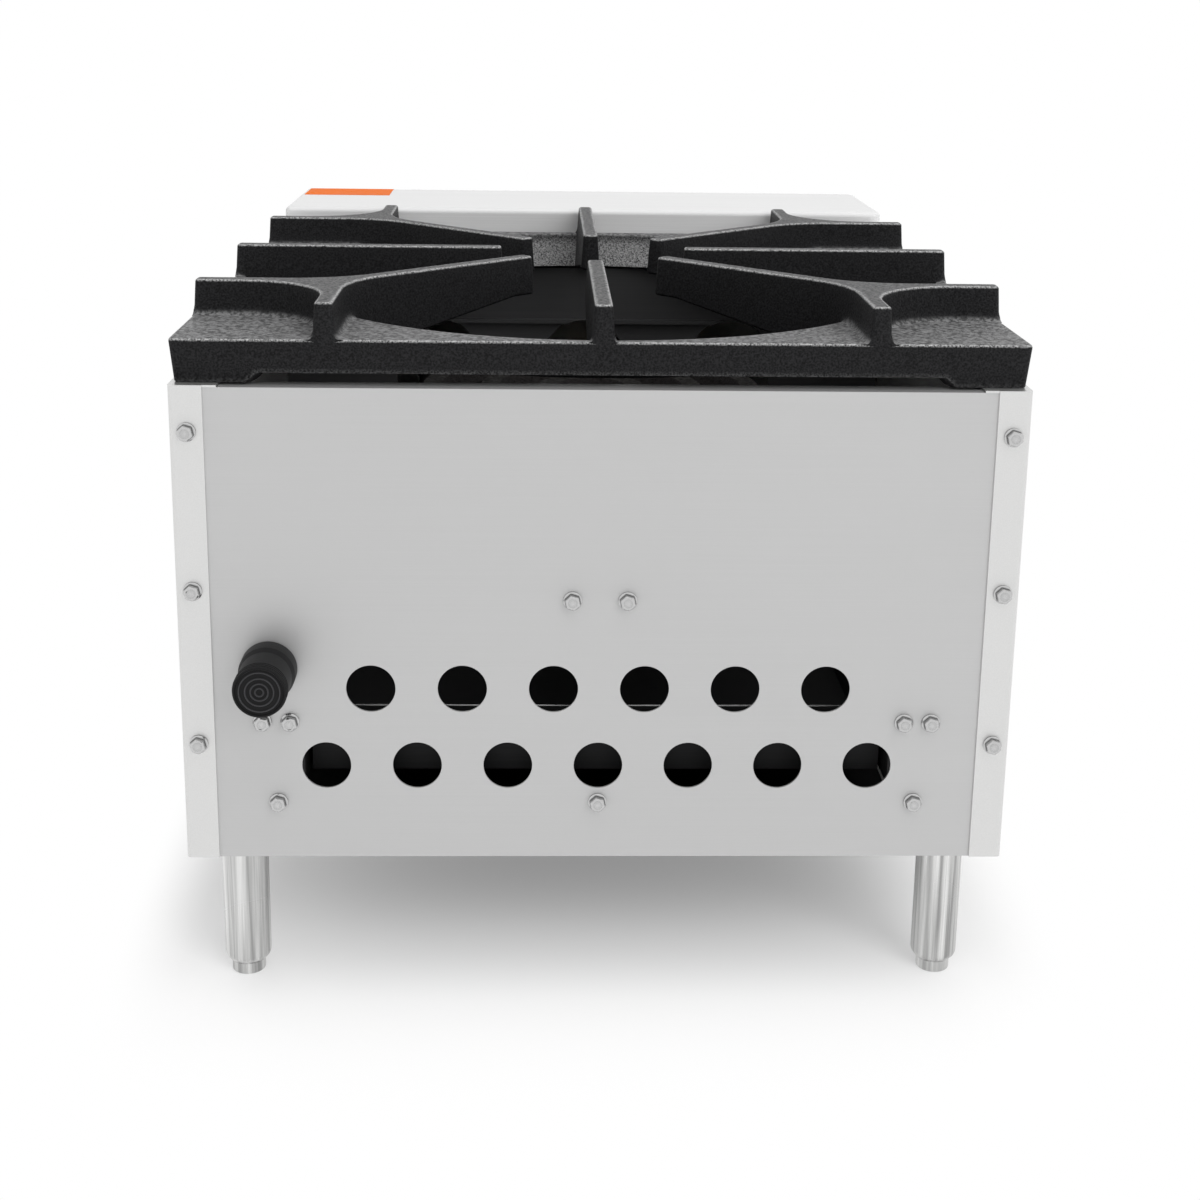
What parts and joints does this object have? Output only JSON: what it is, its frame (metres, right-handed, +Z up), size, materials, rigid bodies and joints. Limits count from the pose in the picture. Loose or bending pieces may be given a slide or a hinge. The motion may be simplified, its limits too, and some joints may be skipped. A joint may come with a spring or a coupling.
{
  "type": "stock pot range",
  "caption": "Counter-top gas stock pot range: square cast-iron grate over concentric ring burners in a folded stainless casing on round legs, with a raised front ledge, knobs and a drip tray.",
  "frame": {"origin": "on the floor, midway between the sides and midway between the knob fronts and the inlet cap's end", "axes": "+X to the right for someone at the knobs, +Y towards the rear, +Z up; the knobs face -Y"},
  "size_m": [0.4572, 0.672, 0.4026],
  "materials": {
    "stainless": "sheet with a satin brushed finish",
    "galvanised": "dull zinc-coated sheet",
    "bolt_steel": "bright plated",
    "label_orange": "plain film, nothing printed",
    "burner_iron": "rough as cast",
    "pipe_black": "black pipe",
    "cap_plastic": "soft black thread cap",
    "brass": "machined",
    "stem_steel": "machined",
    "knob_plastic": "moulded black",
    "shutter_steel": "stamped",
    "pilot_tube_alu": "drawn tube",
    "pilot_steel": "heat-tinted",
    "leg_steel": "brushed tube",
    "foot_steel": "machined",
    "grate_iron": "black seasoned, sand-cast grain"
  },
  "bodies": {
    "casing": {"side_panel_left": "stainless", "side_panel_right": "stainless", "rear_panel": "stainless", "control_panel": "stainless", "front_lower_rail": "stainless", "front_ledge": "stainless", "rear_lower_rail": "galvanised", "bottom_shield": "galvanised", "tray_runner_left": "galvanised", "tray_runner_right": "galvanised", "burner_baffle": "galvanised", "burner_front_rail": "galvanised", "burner_bracket": "galvanised", "burner_cradle": "galvanised", "manifold_straps": "galvanised", "pilot_bracket": "galvanised", "rear_panel_bolts": "bolt_steel", "leg_nuts": "bolt_steel", "blank_label": "label_orange", "burner_outer_ring": "burner_iron", "burner_middle_ring": "burner_iron", "burner_inner_ring": "burner_iron", "gas_manifold": "pipe_black", "supply_pipe": "pipe_black", "supply_elbow": "pipe_black", "inlet_collar": "pipe_black", "orifice_hoods": "brass", "pilot_valve": "brass", "gas_valve_left": "brass", "gas_valve_center": "brass", "gas_valve_right": "brass", "pilot_tube": "pilot_tube_alu", "pilot_head": "pilot_steel", "leg_front_left": "leg_steel", "leg_front_right": "leg_steel", "leg_rear_left": "leg_steel", "leg_rear_right": "leg_steel"},
    "grate": {"grate": "grate_iron"},
    "drip_tray": {"drip_tray": "galvanised", "tray_front": "stainless", "tray_pull": "stainless"},
    "pilot_screw": {"pilot_screw": "brass"},
    "inlet_cap": {"inlet_cap": "cap_plastic"},
    "knob_left": {"knob_left": "knob_plastic", "valve_stem_left": "stem_steel"},
    "air_shutter_left": {"air_shutter_left": "shutter_steel"},
    "knob_center": {"knob_center": "knob_plastic", "valve_stem_center": "stem_steel"},
    "air_shutter_center": {"air_shutter_center": "shutter_steel"},
    "knob_right": {"knob_right": "knob_plastic", "valve_stem_right": "stem_steel"},
    "air_shutter_right": {"air_shutter_right": "shutter_steel"},
    "foot_front_left": {"foot_front_left": "foot_steel"},
    "foot_front_right": {"foot_front_right": "foot_steel"},
    "foot_rear_left": {"foot_rear_left": "foot_steel"},
    "foot_rear_right": {"foot_rear_right": "foot_steel"}
  },
  "joints": [
    {"name": "grate_lift", "type": "slide", "parent": "casing", "child": "grate", "axis": [0, 0, 1], "range_m": [0, 0.1]},
    {"name": "tray_slide", "type": "slide", "parent": "casing", "child": "drip_tray", "axis": [0, -1, 0], "range_m": [0, 0.4]},
    {"name": "knob_left_turn", "type": "hinge", "parent": "casing", "child": "knob_left", "pos_m": [-0.112, -0.31, 0.26], "axis": [0, -1, 0], "range_deg": [0, 90]},
    {"name": "knob_center_turn", "type": "hinge", "parent": "casing", "child": "knob_center", "pos_m": [0, -0.31, 0.26], "axis": [0, -1, 0], "range_deg": [0, 90]},
    {"name": "knob_right_turn", "type": "hinge", "parent": "casing", "child": "knob_right", "pos_m": [0.112, -0.31, 0.26], "axis": [0, -1, 0], "range_deg": [0, 90]},
    {"name": "air_shutter_left_turn", "type": "hinge", "parent": "casing", "child": "air_shutter_left", "pos_m": [-0.112, -0.2269, 0.26], "axis": [0, 1, 0], "range_deg": [0, 90]},
    {"name": "air_shutter_center_turn", "type": "hinge", "parent": "casing", "child": "air_shutter_center", "pos_m": [0, -0.2269, 0.26], "axis": [0, 1, 0], "range_deg": [0, 90]},
    {"name": "air_shutter_right_turn", "type": "hinge", "parent": "casing", "child": "air_shutter_right", "pos_m": [0.112, -0.2269, 0.26], "axis": [0, 1, 0], "range_deg": [0, 90]},
    {"name": "pilot_screw_turn", "type": "hinge", "parent": "casing", "child": "pilot_screw", "pos_m": [0.056, -0.266, 0.22734], "axis": [0, -1, 0], "range_deg": [0, 360]},
    {"name": "inlet_cap_pull", "type": "slide", "parent": "casing", "child": "inlet_cap", "axis": [0, 1, 0], "range_m": [0, 0.04]},
    {"name": "foot_front_left_travel", "type": "slide", "parent": "casing", "child": "foot_front_left", "axis": [0, 0, -1], "range_m": [0, 0.02]},
    {"name": "foot_front_right_travel", "type": "slide", "parent": "casing", "child": "foot_front_right", "axis": [0, 0, -1], "range_m": [0, 0.02]},
    {"name": "foot_rear_left_travel", "type": "slide", "parent": "casing", "child": "foot_rear_left", "axis": [0, 0, -1], "range_m": [0, 0.02]},
    {"name": "foot_rear_right_travel", "type": "slide", "parent": "casing", "child": "foot_rear_right", "axis": [0, 0, -1], "range_m": [0, 0.02]}
  ]
}
